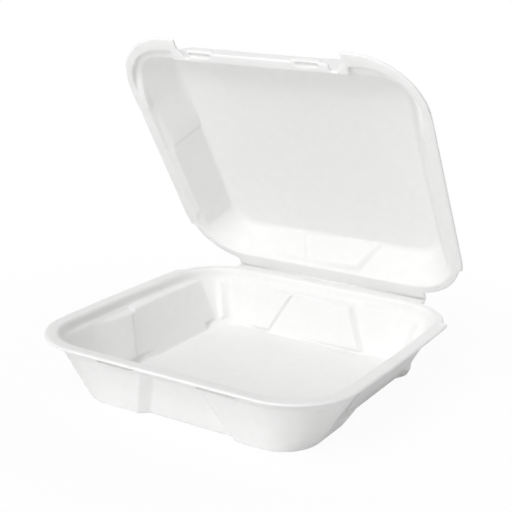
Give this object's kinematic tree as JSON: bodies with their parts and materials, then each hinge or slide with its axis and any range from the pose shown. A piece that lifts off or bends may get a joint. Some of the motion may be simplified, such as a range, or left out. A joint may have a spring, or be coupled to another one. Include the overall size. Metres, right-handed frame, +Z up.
{
  "type": "foam clamshell container",
  "caption": "Hinged foam takeaway food container: a flared tray with panelled walls and a flat rim flange, and a shallow lid with front catches.",
  "frame": {"origin": "centre of the tray's rim, on the underside of its floor", "axes": "+Z up, +Y towards the hinge at the back, so the locking edge faces -Y; +X to the right of it"},
  "size_m": [0.23, 0.2323, 0.2316],
  "materials": {
    "foam": "white foam sheet, satin skin"
  },
  "bodies": {
    "tray": {"tray": "foam"},
    "lid": {"lid": "foam"}
  },
  "joints": [
    {"name": "lid_hinge", "type": "hinge", "parent": "tray", "child": "lid", "pos_m": [0, 0.1123, 0.0444], "axis": [-1, 0, 0], "range_deg": [-57.2, 122.8]}
  ]
}
